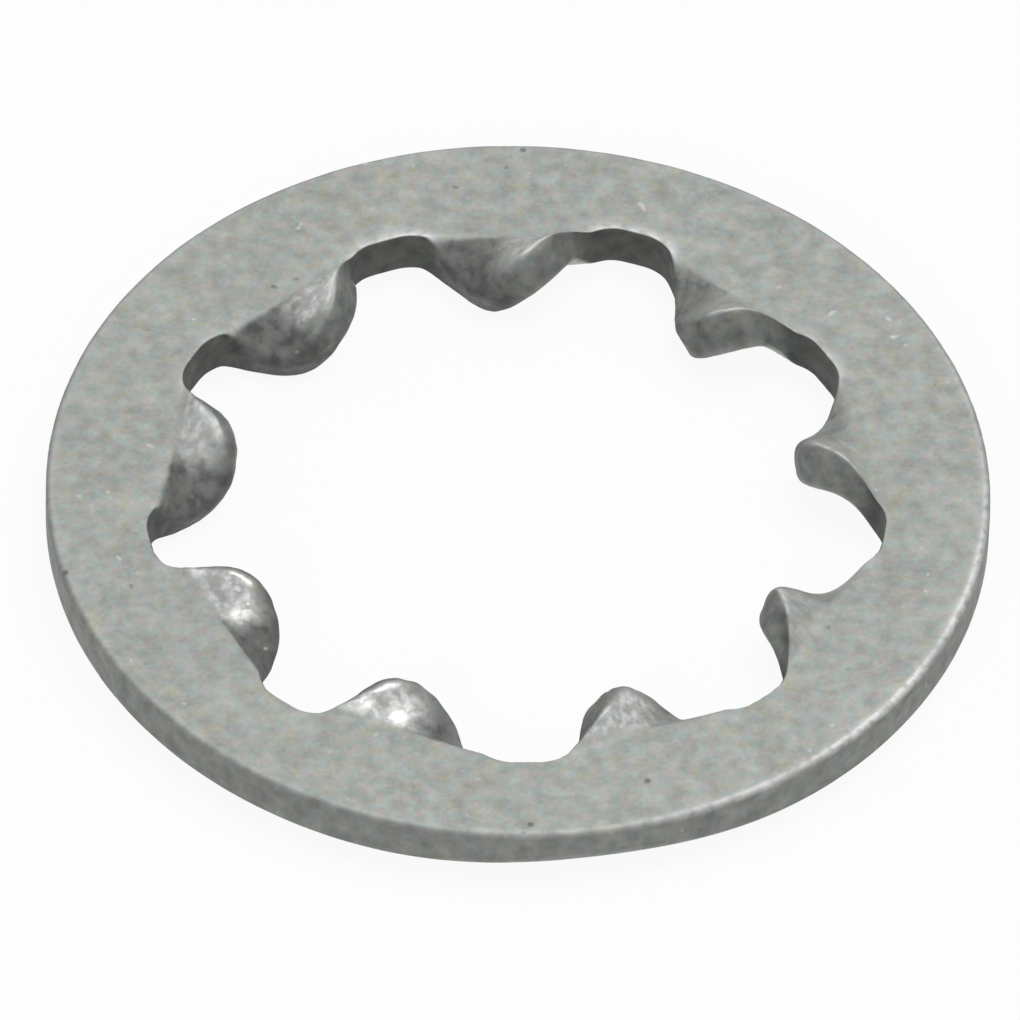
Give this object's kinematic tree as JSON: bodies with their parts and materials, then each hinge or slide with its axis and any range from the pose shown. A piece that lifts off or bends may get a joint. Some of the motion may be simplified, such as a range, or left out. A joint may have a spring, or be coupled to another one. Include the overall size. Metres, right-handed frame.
{
  "type": "internal tooth lock washer",
  "caption": "Flat round spring-steel washer whose inward teeth are twisted so that their edges bite into the screw head and the work and keep the screw from turning loose.",
  "frame": {"origin": "centre of the washer on the surface that it rests on, under the lowest tooth edges", "axes": "+Z along the washer's axis; one tooth points from +Y towards the axis"},
  "size_m": [0.018, 0.018, 0.0021],
  "materials": {
    "zinc_plated_steel": "matt zinc"
  },
  "bodies": {
    "root": {"lock_washer": "zinc_plated_steel"}
  },
  "joints": []
}
